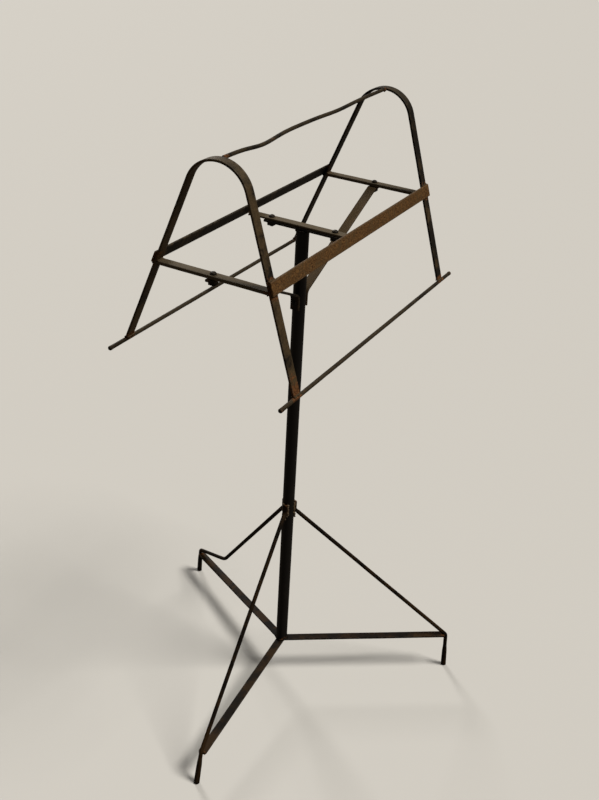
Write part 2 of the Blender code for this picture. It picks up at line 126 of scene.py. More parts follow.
# %% Path helpers
def rounded(points, radius, step=math.radians(8.0)):
    """A chain of points with each inner corner turned into an arc of this radius."""
    points = [Vector(point) for point in points]
    path = [points[0]]
    for before, corner, after in zip(points, points[1:], points[2:]):
        to_before, to_after = (before - corner).normalized(), (after - corner).normalized()
        half = to_before.angle(to_after) / 2
        hub = corner + (to_before + to_after).normalized() * (radius / math.sin(half))
        start = corner + to_before * (radius / math.tan(half)) - hub
        end = corner + to_after * (radius / math.tan(half)) - hub
        turn = start.angle(end)
        count = max(2, math.ceil(turn / step))
        for index in range(count + 1):
            share = index / count
            blend = start * math.sin((1 - share) * turn) + end * math.sin(share * turn)
            path.append(hub + blend / math.sin(turn))
    return path + [points[-1]]


def finder(points):
    """A tree that finds the nearest of these points."""
    tree = KDTree(len(points))
    for index, point in enumerate(points):
        tree.insert(point, index)
    tree.balance()
    return tree


def leg_spread(side, height):
    """Pole axis to the middle of a leg's strap at this height."""
    return side.spread - (height - RAIL_HEIGHT) * math.tan(side.slope)


def off_leg(side, height, off_middle):
    """Y and Z of a point square off the middle of a leg's strap."""
    return (side.toward_y * (leg_spread(side, height) + off_middle * math.cos(side.slope)),
            height + off_middle * math.sin(side.slope))


def arch_circle():
    """Radius and middle (Y, Z) of the arc that touches both legs and the top of a hoop."""
    rise = HOOP_TOP - RAIL_HEIGHT
    share = {side: (1 - math.sin(side.slope)) / math.cos(side.slope) for side in SIDES}
    spreads = sum(side.spread for side in SIDES)
    leans = sum(math.tan(side.slope) for side in SIDES)
    radius = (spreads - rise * leans) / sum(share.values())
    middle_y = radius * share[FRONT] + rise * math.tan(FRONT.slope) - FRONT.spread
    return radius, middle_y, HOOP_TOP - radius


ARCH_STEPS = 48


def hoop_line(x):
    """Centre line of a hoop: up the front leg, over the arch and down the rear leg."""
    radius, hub_y, hub_z = arch_circle()
    start, sweep = math.pi - FRONT.slope, math.pi - FRONT.slope - REAR.slope
    arch = [start - sweep * index / ARCH_STEPS for index in range(ARCH_STEPS + 1)]
    line = [(x, hub_y + radius * math.cos(angle), hub_z + radius * math.sin(angle)) for angle in arch]
    feet = [(x, side.toward_y * leg_spread(side, side.leg_end), side.leg_end) for side in SIDES]
    return [feet[0], *line, feet[1]]


RIDGE_Y = arch_circle()[1]
print("arch radius %.1f mm, ridge at y = %.1f mm" % (1000 * arch_circle()[0], 1000 * RIDGE_Y))

# %% [markdown]
# ## Writing node trees in a few lines
#
# Both the shapes and the finishes below are node trees. `node` adds one node and fills its inputs,
# either with a value or with a link from another node's output, so that a tree reads from top to
# bottom like a recipe. `shape` does the same for a geometry node and hands on its first output.

# %% Node helpers
def node(tree, kind, inputs=None, **settings):
    """Add a node, apply its settings, and fill its inputs with values or links."""
    made = tree.nodes.new(kind)
    for key, value in settings.items():
        setattr(made, key, value)
    for key, value in (inputs or {}).items():
        if isinstance(value, bpy.types.NodeSocket):
            tree.links.new(value, made.inputs[key])
        else:
            made.inputs[key].default_value = value
    return made


def shape(tree, kind, inputs=None, **settings):
    """Add a geometry node, named without its prefix, and return its first output."""
    return node(tree, "GeometryNode" + kind, inputs, **settings).outputs[0]


def maths(tree, operation, first, second=0.0, clamp=False):
    inputs = {0: first, 1: second}
    return node(tree, "ShaderNodeMath", inputs, operation=operation, use_clamp=clamp).outputs[0]


def times(tree, first, second, clamp=False):
    return maths(tree, "MULTIPLY", first, second, clamp)


def vectors(tree, operation, first, second):
    """Vector maths. SCALE takes its factor as the second value."""
    inputs = {0: first, "Scale" if operation == "SCALE" else 1: second}
    return node(tree, "ShaderNodeVectorMath", inputs, operation=operation).outputs[0]


def remap(tree, value, low, high, to_low=0.0, to_high=1.0):
    """A smooth step from low to high."""
    inputs = {"Value": value, "From Min": low, "From Max": high, "To Min": to_low, "To Max": to_high}
    return node(tree, "ShaderNodeMapRange", inputs, interpolation_type="SMOOTHSTEP").outputs["Result"]


SOCKET_TYPES = {float: "Float", int: "Int", bool: "Bool", tuple: "Color"}


def open_tree(name, kind, inputs, outputs):
    """A node group and its end nodes. Each socket is given as its default, or as its type's name."""
    tree = bpy.data.node_groups.new(name, kind)
    for in_out, sockets in (("INPUT", inputs), ("OUTPUT", outputs)):
        for label, default in sockets.items():
            by_name = isinstance(default, str)
            socket_type = "NodeSocket" + (default if by_name else SOCKET_TYPES[type(default)])
            socket = tree.interface.new_socket(label, in_out=in_out, socket_type=socket_type)
            if not by_name:
                socket.default_value = default
    return tree, tree.nodes.new("NodeGroupInput").outputs, tree.nodes.new("NodeGroupOutput").inputs


def close_shape(tree, geometry, iron, output):
    """End a shape's tree: real geometry instead of instances, in its material."""
    geometry = shape(tree, "RealizeInstances", {"Geometry": geometry})
    geometry = shape(tree, "SetMaterial", {"Geometry": geometry, "Material": iron})
    tree.links.new(geometry, output)
    return tree


print("node helpers ready")

# %% [markdown]
# ## One tree for every bar and rod
#
# All the iron in the stand follows a line, so one Geometry Nodes tree makes it all. It spaces points
# along the line, sweeps a rounded section along them, and presses shallow hammer dents into the
# surface. It also leaves two marks on the points for the finish to read: `edge` is 1 on a
# section's corners, and `tip` is 1 at the bar's two ends.

# %% The forged bar tree
def forged_bar_tree():
    tree, given, result = open_tree(
        "forged_bar", "GeometryNodeTree",
        {"Path": "Geometry", "Width": 0.02, "Thickness": 0.005, "Corner": 0.0008, "Round": False,
         "Section Points": 36, "Step": 0.0025, "Width Direction": "Vector", "Dent Depth": 0.0002,
         "Dent Size": 0.012, "Waver": 0.0003, "Seed": 0.0, "Iron": "Material"},
        {"Bar": "Geometry"})
    line = shape(tree, "MeshToCurve", {"Mesh": given["Path"]})
    line = shape(tree, "ResampleCurve", {"Curve": line, "Length": given["Step"]}, mode="LENGTH")

    # The line wavers a little, as iron does that was straightened by eye.
    point = shape(tree, "InputPosition")
    shifted = node(tree, "ShaderNodeCombineXYZ", {"X": given["Seed"], "Y": given["Seed"]}).outputs[0]
    here = vectors(tree, "ADD", point, shifted)
    drift = node(tree, "ShaderNodeTexNoise", {"Vector": here, "Scale": 9.0, "Detail": 1.0}).outputs["Color"]
    drift = vectors(tree, "SCALE", vectors(tree, "SUBTRACT", drift, (0.5, 0.5, 0.5)), given["Waver"])
    line = shape(tree, "SetPosition", {"Geometry": line, "Offset": drift})
    line = shape(tree, "SetCurveNormal", {"Curve": line, "Normal": given["Width Direction"]}, mode="FREE")

    # A mark for the two ends.
    along = node(tree, "GeometryNodeSplineParameter").outputs["Length"]
    total = node(tree, "GeometryNodeSplineLength").outputs["Length"]
    to_end = maths(tree, "MINIMUM", along, maths(tree, "SUBTRACT", total, along))
    tip = remap(tree, to_end, 0.0, 0.022, 1.0, 0.0)
    line = shape(tree, "StoreNamedAttribute", {"Geometry": line, "Name": "tip", "Value": tip},
                 domain="POINT")

    # The section: a rectangle with small round corners, or a circle.
    half_width = times(tree, given["Width"], 0.5)
    half_thickness = times(tree, given["Thickness"], 0.5)
    flat = shape(tree, "CurvePrimitiveQuadrilateral",
                 {"Width": given["Width"], "Height": given["Thickness"]})
    flat = shape(tree, "FilletCurve",
                 {"Curve": flat, "Count": 3, "Radius": given["Corner"], "Limit Radius": True}, mode="POLY")
    flat = shape(tree, "ResampleCurve", {"Curve": flat, "Count": given["Section Points"]}, mode="COUNT")
    parts = node(tree, "ShaderNodeSeparateXYZ", {0: point}).outputs
    across = maths(tree, "DIVIDE", maths(tree, "ABSOLUTE", parts["X"]), half_width)
    through = maths(tree, "DIVIDE", maths(tree, "ABSOLUTE", parts["Y"]), half_thickness)
    edge = times(tree, remap(tree, across, 0.80, 0.97), remap(tree, through, 0.35, 0.95))
    flat = shape(tree, "StoreNamedAttribute", {"Geometry": flat, "Name": "edge", "Value": edge},
                 domain="POINT")
    circle = shape(tree, "CurvePrimitiveCircle",
                   {"Resolution": given["Section Points"], "Radius": half_width}, mode="RADIUS")
    section = shape(tree, "Switch", {"Switch": given["Round"], "False": flat, "True": circle},
                    input_type="GEOMETRY")
    radius = shape(tree, "InputRadius")
    bar = shape(tree, "CurveToMesh",
                {"Curve": line, "Profile Curve": section, "Scale": radius, "Fill Caps": True})

    # Hammer blows press shallow dents, and scale that was hammered in leaves a finer grain.
    per_dent = maths(tree, "DIVIDE", 1.0, given["Dent Size"])
    blows = node(tree, "ShaderNodeTexVoronoi", {"Vector": here, "Scale": per_dent, "Smoothness": 0.6},
                 feature="SMOOTH_F1").outputs["Distance"]
    fine = times(tree, per_dent, 2.2)
    grain = node(tree, "ShaderNodeTexNoise", {"Vector": here, "Scale": fine, "Detail": 3.0}).outputs["Fac"]
    blows, grain = times(tree, blows, 0.65), times(tree, grain, 0.5)
    depth = maths(tree, "ADD", blows, grain, clamp=True)
    depth = times(tree, depth, times(tree, given["Dent Depth"], -1.0))
    outward = node(tree, "GeometryNodeInputNormal").outputs["Normal"]
    press = vectors(tree, "SCALE", outward, depth)
    bar = shape(tree, "SetPosition", {"Geometry": bar, "Offset": press})
    return close_shape(tree, bar, given["Iron"], result["Bar"])


FORGED_BAR = forged_bar_tree()
print("forged bar tree:", len(FORGED_BAR.nodes), "nodes")

# %% [markdown]
# ## From a tree to a finished mesh
#
# A tree runs as a modifier on a chain of points. Its inputs are set by each socket's identifier
# before anything is evaluated, the result is copied out as a plain mesh, and the working object goes.
# Cut ends of bar iron are never razor sharp, so the two end faces then get a narrow filed rim.

# %% Run a tree, finish a mesh
def show(name, data):
    """A new object with this data, linked to the scene."""
    made = bpy.data.objects.new(name, data)
    bpy.context.scene.collection.objects.link(made)
    return made


def new_mesh(name, points, links=(), faces=()):
    mesh = bpy.data.meshes.new(name)
    mesh.from_pydata([tuple(point) for point in points], links, faces)
    return mesh


def chain(name, points, radii=None):
    """A mesh of points joined in a row, with an optional radius factor at each point."""
    mesh = new_mesh(name, points, [(index, index + 1) for index in range(len(points) - 1)])
    factor = mesh.attributes.new("radius", "FLOAT", "POINT")
    factor.data.foreach_set("value", radii or [1.0] * len(points))
    return mesh


def run_tree(name, source, tree, **values):
    """Run a tree on a mesh with these named inputs and return the result as a plain mesh."""
    holder = show(name + "_line", source)
    modifier = holder.modifiers.new("shape", "NODES")
    modifier.node_group = tree
    known = {item.name: item.identifier for item in tree.interface.items_tree if item.in_out == "INPUT"}
    for label, value in values.items():
        modifier[known[label.replace("_", " ")]] = value
    depsgraph = bpy.context.evaluated_depsgraph_get()
    mesh = bpy.data.meshes.new_from_object(holder.evaluated_get(depsgraph))
    bpy.data.objects.remove(holder, do_unlink=True)
    mesh.name = name
    return mesh


def file_ends(mesh, width):
    """Round the rims of the end faces and shade the piece smooth."""
    bm = bmesh.new()
    bm.from_mesh(mesh)
    rims = {edge for face in bm.faces if len(face.verts) > 4 for edge in face.edges}
    bmesh.ops.bevel(bm, geom=list(rims), offset=width, segments=2, affect="EDGES", clamp_overlap=True)
    bmesh.ops.recalc_face_normals(bm, faces=bm.faces)
    bm.to_mesh(mesh)
    bm.free()
    for polygon in mesh.polygons:
        polygon.use_smooth = True
    mesh.set_sharp_from_angle(angle=math.radians(50.0))


PIECES = []


def place(name, mesh, slot, *nodes):
    """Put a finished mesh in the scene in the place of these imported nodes."""
    piece = show(name, mesh)
    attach(piece, "root")
    if nodes:
        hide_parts(*nodes)
    PIECES.append(piece)
    return piece


# %% [markdown]
# ## How old iron looks
#
# Iron that was black from the forge never stays one colour. Scale and old oil leave it almost black,
# handling and air turn it brown, and where water sits it rusts orange. Faces that look up turn paler,
# partly because they are dusty and partly as painted light from above, and corners rub bright. Those
# effects are the same on every piece, in different amounts, so they live in one shader group. Its
# amounts are inputs, and its outputs are a colour, a roughness, a metallic value and a height, which
# each material wires to its own shader.

# %% The aged iron group
def mix(tree, amount, first, second, blend="MIX"):
    """Mix two colours. A Mix node's colours are its inputs 6 and 7, and the result is output 2."""
    made = node(tree, "ShaderNodeMix", {0: amount, 6: first, 7: second}, data_type="RGBA", blend_type=blend)
    return made.outputs[2]


def patches(tree, vector, scale, detail=6.0, twist=0.0, roughness=0.6):
    inputs = {"Vector": vector, "Scale": scale, "Detail": detail, "Distortion": twist,
              "Roughness": roughness}
    return node(tree, "ShaderNodeTexNoise", inputs).outputs["Fac"]


def aged_iron_group():
    grey = (0.5, 0.5, 0.5, 1.0)
    tree, given, result = open_tree(
        "aged_iron", "ShaderNodeTree",
        {"Black": grey, "Brown": grey, "Rust": grey, "Dust": grey, "Bright": grey, "Brown Amount": 0.5,
         "Rust Amount": 0.3, "Dust Amount": 0.4, "Edge Wear": 0.5, "Joint Rust": 0.8},
        {"Color": "Color", "Roughness": "Float", "Metallic": "Float", "Height": "Float"})

    def mark(label):
        return node(tree, "ShaderNodeAttribute", attribute_name=label).outputs["Fac"]

    def plus(first, second):
        return maths(tree, "ADD", first, second)

    here = node(tree, "ShaderNodeTexCoord").outputs["Object"]
    broad = patches(tree, here, 16.0, 4.0)
    blotch = patches(tree, here, 70.0, 8.0, 0.8, 0.68)
    speck = patches(tree, here, 420.0, 4.0)
    pits = node(tree, "ShaderNodeTexVoronoi", {"Vector": here, "Scale": 330.0}).outputs["Distance"]

    # Brown comes in broad areas, broken up by the blotches.
    cover = plus(times(tree, broad, 0.65), times(tree, blotch, 0.35))
    level = maths(tree, "SUBTRACT", 0.78, times(tree, given["Brown Amount"], 0.55))
    brown = remap(tree, maths(tree, "SUBTRACT", cover, level), -0.08, 0.08)
    colour = mix(tree, brown, given["Black"], given["Brown"])

    # Rust starts in blotches, and sooner near a weld and at cut ends. Its specks are darker.
    near = times(tree, mark("joint"), given["Joint Rust"])
    ends = times(tree, mark("tip"), 0.12)
    eager = plus(times(tree, given["Rust Amount"], 0.50), plus(times(tree, near, 0.32), ends))
    rust = remap(tree, plus(maths(tree, "SUBTRACT", blotch, 0.80), eager), -0.07, 0.09)
    dark_rust = mix(tree, 1.0, given["Rust"], (0.42, 0.36, 0.34, 1.0), "MULTIPLY")
    deep = mix(tree, remap(tree, speck, 0.35, 0.65), dark_rust, given["Rust"])
    colour = mix(tree, rust, colour, deep)

    # Faces that look up turn paler: partly dusty iron, partly painted light from above. The paler colour
    # thins out in patches, where a cloth or a sleeve has passed.
    normal = node(tree, "ShaderNodeNewGeometry").outputs["Normal"]
    facing = node(tree, "ShaderNodeSeparateXYZ", {0: normal}).outputs["Z"]
    top_dust_and_light = times(tree, remap(tree, facing, 0.15, 0.95), remap(tree, blotch, 0.28, 0.62, 0.35, 1.0))
    dust_and_top_light = times(tree, top_dust_and_light, given["Dust Amount"], clamp=True)
    colour = mix(tree, dust_and_top_light, colour, given["Dust"])

    # Corners rub through to brighter metal, in dashes.
    rubbed = times(tree, mark("edge"), remap(tree, blotch, 0.40, 0.60))
    wear = times(tree, rubbed, given["Edge Wear"], clamp=True)
    colour = mix(tree, wear, colour, given["Bright"])
    fine = remap(tree, speck, 0.30, 0.70, 0.72, 1.18)
    shade = node(tree, "ShaderNodeCombineColor", {0: fine, 1: fine, 2: fine}).outputs[0]
    colour = mix(tree, 1.0, colour, shade, "MULTIPLY")

    covered = maths(tree, "MAXIMUM", rust, dust_and_top_light, clamp=True)
    roughness = plus(plus(times(tree, covered, 0.30), times(tree, speck, 0.25)), 0.40)
    roughness = maths(tree, "SUBTRACT", roughness, times(tree, wear, 0.18), clamp=True)
    # Scale, rust and dust aren't metal any more. Only a rubbed corner still is.
    metallic = times(tree, wear, 0.55)
    crust = times(tree, rust, remap(tree, speck, 0.2, 0.8))
    height = plus(times(tree, crust, 0.55), times(tree, remap(tree, pits, 0.05, 0.45), 0.25))
    height = plus(height, times(tree, speck, 0.35))
    results = {"Color": colour, "Roughness": roughness, "Metallic": metallic, "Height": height}
    for label, value in results.items():
        tree.links.new(value, result[label])
    return tree


AGED_IRON = aged_iron_group()
print("aged iron group:", len(AGED_IRON.nodes), "nodes")

# %% [markdown]
# ## The stand's own finishes
#
# The same group gives every finish here. The pole is nearly black, the hoops and the tripod show
# brown through the black, the flat bars are paler on top, partly dusty and partly painted light from
# above, and the front rail is rusted all over. Only the colours and amounts differ, so the pieces still
# look as if they had stood in one damp room. Old scale hardly shines, so each shader's specular level
# is low, and it is set on the shader itself because it is the same all over a piece.

# %% Finishes
def iron_finish(name, relief=0.0004, specular=0.08, **changes):
    """An iron material: the shared group with these changes, wired to the material's own shader."""
    material = bpy.data.materials.new(name)
    material.use_nodes = True
    tree = material.node_tree
    shader = tree.nodes["Principled BSDF"]
    shader.inputs["Specular IOR Level"].default_value = specular
    ageing = node(tree, "ShaderNodeGroup", node_tree=AGED_IRON)
    for label, value in {**SHADES, **changes}.items():
        socket = ageing.inputs[label.replace("_", " ")]
        socket.default_value = (*value, 1.0) if isinstance(value, tuple) else value
    relief_inputs = {"Height": ageing.outputs["Height"], "Distance": relief, "Strength": 0.8}
    bump = node(tree, "ShaderNodeBump", relief_inputs)
    for output, target in (("Color", "Base Color"), ("Roughness", "Roughness"), ("Metallic", "Metallic")):
        tree.links.new(ageing.outputs[output], shader.inputs[target])
    tree.links.new(bump.outputs["Normal"], shader.inputs["Normal"])
    return material


# The up-facing colour here is partly dusty iron and partly painted light from above.
SHADES = {"Black": (0.0060, 0.0048, 0.0036), "Brown": (0.046, 0.030, 0.014), "Rust": (0.110, 0.046, 0.015),
          "Dust": (0.072, 0.055, 0.033), "Bright": (0.095, 0.078, 0.056)}

pole_black = iron_finish(
    "pole_black", specular=0.16, Black=(0.0034, 0.0028, 0.0024), Brown=(0.0090, 0.0064, 0.0042),
    Brown_Amount=0.32, Rust_Amount=0.05, Dust_Amount=0.10, Edge_Wear=0.4, Joint_Rust=0.3)
hoop_iron = iron_finish("hoop_iron", Brown_Amount=0.58, Rust_Amount=0.24, Dust_Amount=0.40, Edge_Wear=0.5)
far_hoop_iron = iron_finish(
    "far_hoop_iron", Brown_Amount=0.40, Rust_Amount=0.14, Dust_Amount=0.30, Edge_Wear=0.4)
# The crossbars' tops carry the most of the up-facing colour, partly dusty iron and partly painted light
# from above.
cross_iron = iron_finish(
    "cross_iron", Brown=(0.058, 0.043, 0.025), Brown_Amount=1.0, Rust_Amount=0.25, Dust_Amount=0.90,
    Edge_Wear=0.8, Joint_Rust=0.4)
brace_iron = iron_finish(
    "brace_iron", specular=0.05, Brown=(0.042, 0.026, 0.012), Dust=(0.058, 0.042, 0.022),
    Rust=(0.070, 0.036, 0.013), Brown_Amount=0.85, Rust_Amount=0.45, Dust_Amount=0.60, Edge_Wear=0.5,
    Joint_Rust=0.4)
rod_iron = iron_finish(
    "rod_iron", Brown=(0.024, 0.017, 0.009), Brown_Amount=0.60, Rust_Amount=0.24, Dust_Amount=0.12,
    Edge_Wear=0.4)
leg_iron = iron_finish(
    "leg_iron", specular=0.04, Black=(0.0045, 0.0034, 0.0024), Brown=(0.0200, 0.0108, 0.0042),
    Dust=(0.026, 0.016, 0.007), Brown_Amount=0.50, Rust_Amount=0.10, Dust_Amount=0.08, Edge_Wear=0.3,
    Joint_Rust=0.5)
rail_rust = iron_finish(
    "rail_rust", Rust=(0.096, 0.048, 0.015), Brown=(0.060, 0.034, 0.013), Brown_Amount=0.95,
    Rust_Amount=0.70, Dust_Amount=0.20, Edge_Wear=0.5)
weld_rust = iron_finish(
    "weld_rust", relief=0.0006, Rust=(0.200, 0.082, 0.024), Brown_Amount=0.8, Rust_Amount=0.15,
    Dust_Amount=0.25, Edge_Wear=0.0, Joint_Rust=0.22)
braze_brown = iron_finish(
    "braze_brown", Rust=(0.120, 0.088, 0.054), Brown=(0.085, 0.062, 0.038), Brown_Amount=0.9,
    Rust_Amount=0.50, Dust_Amount=0.50, Edge_Wear=0.0, Joint_Rust=0.4)
bolt_black = iron_finish(
    "bolt_black", Brown_Amount=0.30, Rust_Amount=0.10, Dust_Amount=0.20, Edge_Wear=0.5, Joint_Rust=0.2)
print("finishes:", ", ".join(material.name for material in bpy.data.materials if material.users))

# %% [markdown]
# ## The desk's straps, rails and cross bars
#
# Each hoop is one strap of 20 x 5 mm bent round a former, wide side outwards. The rails lie on the
# outside of the legs, so a book rests on flat iron, and each leans exactly as its legs do. The cross
# bars lie flat between the legs. All are the same kind of bar, so `forge` makes each of them in one
# line: a path, a size, and the direction in which the bar is wide.

# %% Forge the flat bars
seeds = iter(range(1, 200))
SEED_STEP = 0.37


def forge(name, path, width, thickness, wide, finish, slot, nodes, **more):
    """A flat bar along a path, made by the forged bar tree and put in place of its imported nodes."""
    values = {"Width": width - 2 * SHY, "Thickness": thickness - 2 * SHY, "Width_Direction": wide,
              "Iron": finish, "Seed": SEED_STEP * next(seeds), "Corner": 0.8 * MM, "Step": 2.5 * MM,
              "Section_Points": 36, "Dent_Depth": 0.22 * MM, "Dent_Size": 11.0 * MM, "Waver": 0.5 * MM,
              "Round": False}
    radii = more.pop("radii", None)
    mesh = run_tree(name, chain(name, path, radii), FORGED_BAR, **{**values, **more})
    file_ends(mesh, 0.5 * MM)
    return place(name, mesh, slot, *nodes)


for end, x, finish in (("left", -HOOP_X, hoop_iron), ("right", HOOP_X, far_hoop_iron)):
    forge("strap_hoop_" + end, hoop_line(x), STRAP_WIDTH, STRAP_THICKNESS, (1, 0, 0), finish,
          "blackened_iron", ["hoop_" + end])

HOOP_OUTER_X = HOOP_X + STRAP_WIDTH / 2
for side, finish, slot in ((FRONT, rail_rust, "rusty_iron"), (REAR, far_hoop_iron, "browned_iron")):
    y, z = off_leg(side, RAIL_HEIGHT, STRAP_THICKNESS / 2 + GAP + RAIL_THICKNESS / 2)
    up_slope = (0, -side.toward_y * math.sin(side.slope), math.cos(side.slope))
    height = size("rail_" + side.name).z
    width = (height - RAIL_THICKNESS * math.sin(side.slope)) / math.cos(side.slope)
    forge("flat_rail_" + side.name, [(-HOOP_OUTER_X + SHY, y, z), (HOOP_OUTER_X - SHY, y, z)], width,
          RAIL_THICKNESS, up_slope, finish, slot, ["rail_" + side.name])

for label in ("crossbar_left", "crossbar_right", "centre_bar", "pole_head"):
    finish, slot = (pole_black, "blackened_iron") if label == "pole_head" else (cross_iron, "browned_iron")
    low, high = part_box(label)
    centre = (low + high) / 2
    path = [(centre.x, low.y + SHY, centre.z), (centre.x, high.y - SHY, centre.z)]
    forge("flat_" + label, path, high.x - low.x, high.z - low.z, (1, 0, 0), finish, slot, [label])
print("flat bars:", len(PIECES))

# %% [markdown]
# ## Braces
#
# Two flat braces run from under the end cross bars down to the pole, where one rivet holds both. They
# stop the desk from rocking. Each has a short flat lap at the top, a long slope and a tab down the
# pole, with small bends between. The left one stayed blacker than the right one.

# %% Forge the braces
BRACE_THICKNESS, BRACE_BEND, TAB_ABOVE_RIVET = 5.0 * MM, 14.0 * MM, 16.0 * MM
lap_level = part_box("brace_right")[1].z - BRACE_THICKNESS / 2
tab_x = POLE_RADIUS + GAP + BRACE_THICKNESS / 2
rivet_level = middle("brace_rivet").z
brace_foot = rivet_level + TAB_ABOVE_RIVET
brace_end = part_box("brace_right")[0].z
lap_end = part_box("brace_right")[1].x
for end, sign, finish in (("left", -1, far_hoop_iron), ("right", 1, brace_iron)):
    corners = [(sign * (lap_end - SHY), 0, lap_level), (sign * (2 * HOOP_X - lap_end), 0, lap_level),
               (sign * tab_x, 0, brace_foot), (sign * tab_x, 0, brace_end + SHY)]
    forge("flat_brace_" + end, rounded(corners, BRACE_BEND), size("brace_left").y, BRACE_THICKNESS,
          (0, 1, 0), finish, "browned_iron", ["brace_" + end], Waver=0.3 * MM)

# %% [markdown]
# ## Round rods and the pole
#
# The ledge rods carry the sheets of music and stick out past the hoops, with ends that were upset by
# the hammer. The ridge rod ties the two arches and has kept a kink from some old knock. The pole is
# a plain bar an inch thick. They come from the same tree with its round section, and a radius factor
# at each point swells the hammered ends.

# %% Forge the rods
def forge_round(name, path, diameter, finish, slot, nodes, **more):
    more = {"Round": True, "Section_Points": 24, "Step": 2.0 * MM, "Dent_Size": 9.0 * MM, **more}
    forge(name, path, diameter, diameter, (0, 0, 1), finish, slot, nodes, **more)


LEDGE_END_SWELL = 1.12
for side in SIDES:
    low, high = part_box("ledge_rod_" + side.name)
    centre = (low + high) / 2
    reach = high.x - SHY
    stops = (0.0, 0.0008, 0.0022, 0.0050, 0.0100, 0.0160)
    swell = (0.86, 1.04, 1.10, 1.07, 1.00, 1.0)
    xs = [-reach + stop for stop in stops] + [reach - stop for stop in reversed(stops)]
    points = [(x, centre.y, centre.z) for x in xs]
    label = "ledge_rod_" + side.name
    forge_round("rod_ledge_" + side.name, points, size(label).z / LEDGE_END_SWELL, rod_iron, "browned_iron",
                [label], radii=list(swell) + list(reversed(swell)), Step=1.4 * MM, Dent_Depth=0.3 * MM)

ridge_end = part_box("ridge_rod")[1].x
KINKS = ((-0.165, 0.0060, 0.050), (0.090, 0.0025, 0.060))    # place, drop and reach of each old knock
RIDGE_STEPS = 60
ridge_line = []
for index in range(RIDGE_STEPS + 1):
    x = ridge_end * (2 * index / RIDGE_STEPS - 1)
    sag = sum(drop * math.exp(-((x - knock) / reach) ** 2) for knock, drop, reach in KINKS)
    ridge_line.append((x, RIDGE_Y, HOOP_TOP - sag))
forge_round("rod_ridge", ridge_line, size("ridge_rod").y, rod_iron, "blackened_iron", ["ridge_rod"],
            Dent_Depth=0.3 * MM)
forge("pole_bar", [(0, 0, POLE_BOTTOM), (0, 0, POLE_TOP)], 2 * POLE_RADIUS, 2 * POLE_RADIUS, (1, 0, 0),
      pole_black, "blackened_iron", ["pole"], Round=True, Section_Points=64, Step=4.0 * MM,
      Dent_Size=24.0 * MM, Dent_Depth=0.25 * MM, Waver=0.2 * MM)
print("with the rods and the pole:", len(PIECES), "pieces")

# %% [markdown]
# ## The tripod
#
# Each leg is one round rod. Its top was hammered flat to lie against the pole, then it runs down a
# slope, turns sharply at the ankle and ends in a short foot that years of dragging have spread. A
# flat stretcher ties each ankle back to the bottom of the pole. The rear leg has an extra dip. The
# flattened top isn't round any more, so after the sweep its points are squeezed towards the pole.

# %% Forge the tripod
STRUT_DIAMETER = 9.2 * MM
TAB_FLAT, TAB_SPREAD = 0.55, 1.35
STRUT_TOP, STRUT_LEAVES = 0.4690, 0.4480
ANKLE_BEND, DIP_BEND = 12.0 * MM, 60.0 * MM
STRETCHER_WIDTH, STRETCHER_THICKNESS, STRETCHER_START = 18.0 * MM, 5.0 * MM, -10.0 * MM


def strut_line(leg):
    """A strut's centre line in its own upright plane, as (reach, 0, height)."""
    tab = POLE_RADIUS + GAP + STRUT_DIAMETER * TAB_FLAT / 2
    corners = [(tab, 0, STRUT_TOP), (tab, 0, STRUT_LEAVES)]
    ankle, toe = (leg.ankle[0], 0, leg.ankle[1]), (leg.toe, 0, 0.0)
    if not leg.dips:
        return rounded([*corners, ankle, toe], ANKLE_BEND)
    dip = (leg.dips[0][0], 0, leg.dips[0][1])
    upper = rounded([*corners, dip], ANKLE_BEND)[:-1]
    across = rounded([corners[-1], dip, ankle], DIP_BEND)[1:-1]
    return upper + across + rounded([dip, ankle, toe], ANKLE_BEND)[1:]


def squeeze_tab(mesh, line):
    """Flatten a strut's upper end against the pole, fading out where the slope leaves it."""
    spines = finder(line)
    for vertex in mesh.vertices:
        spine, index, _ = spines.find((vertex.co.x, 0, vertex.co.z))
        share = 1 - min((spine.x - line[0].x) / (STRUT_DIAMETER / 2), 1.0)
        if share <= 0:
            continue
        along = (line[min(index + 1, len(line) - 1)] - line[max(index - 1, 0)]).normalized()
        across = Vector((-along.z, 0, along.x))
        vertex.co += across * (vertex.co - spine).dot(across) * share * (TAB_FLAT - 1)
        vertex.co.y *= 1 + (TAB_SPREAD - 1) * share


def evenly(points, step):
    """The same line with points at even steps."""
    points = [Vector(point) for point in points]
    line = [points[0]]
    for start, end in zip(points, points[1:]):
        count = max(1, round((end - start).length / step))
        line += [start.lerp(end, index / count) for index in range(1, count + 1)]
    return line


def spread_by(height, top, bottom):
    """How much of a foot's spread has come by this height, from 0 at the top to 1 at the bottom."""
    return min(max((top - height) / (top - bottom), 0.0), 1.0)


def forge_strut(leg):
    line = evenly(strut_line(leg), 2.0 * MM)
    foot = [1.0 + 0.25 * spread_by(point.z, 0.058, 0.044) + 0.14 * spread_by(point.z, 0.044, 0.0)
            for point in line]
    name = "rod_strut_" + leg.name
    mesh = run_tree(name, chain(name, line, foot), FORGED_BAR, Width=STRUT_DIAMETER - 2 * SHY,
                    Thickness=STRUT_DIAMETER, Width_Direction=(0, 1, 0), Iron=leg_iron,
                    Seed=SEED_STEP * next(seeds), Step=2.0 * MM, Section_Points=24, Dent_Depth=0.3 * MM,
                    Dent_Size=10.0 * MM, Waver=0.5 * MM, Round=True)
    squeeze_tab(mesh, line)
    for vertex in mesh.vertices:
        vertex.co.z = max(vertex.co.z, 0.0)
    mesh.transform(Matrix.Rotation(leg.direction, 4, "Z"))
    file_ends(mesh, 0.8 * MM)
    place(name, mesh, "browned_iron", "strut_" + leg.name)


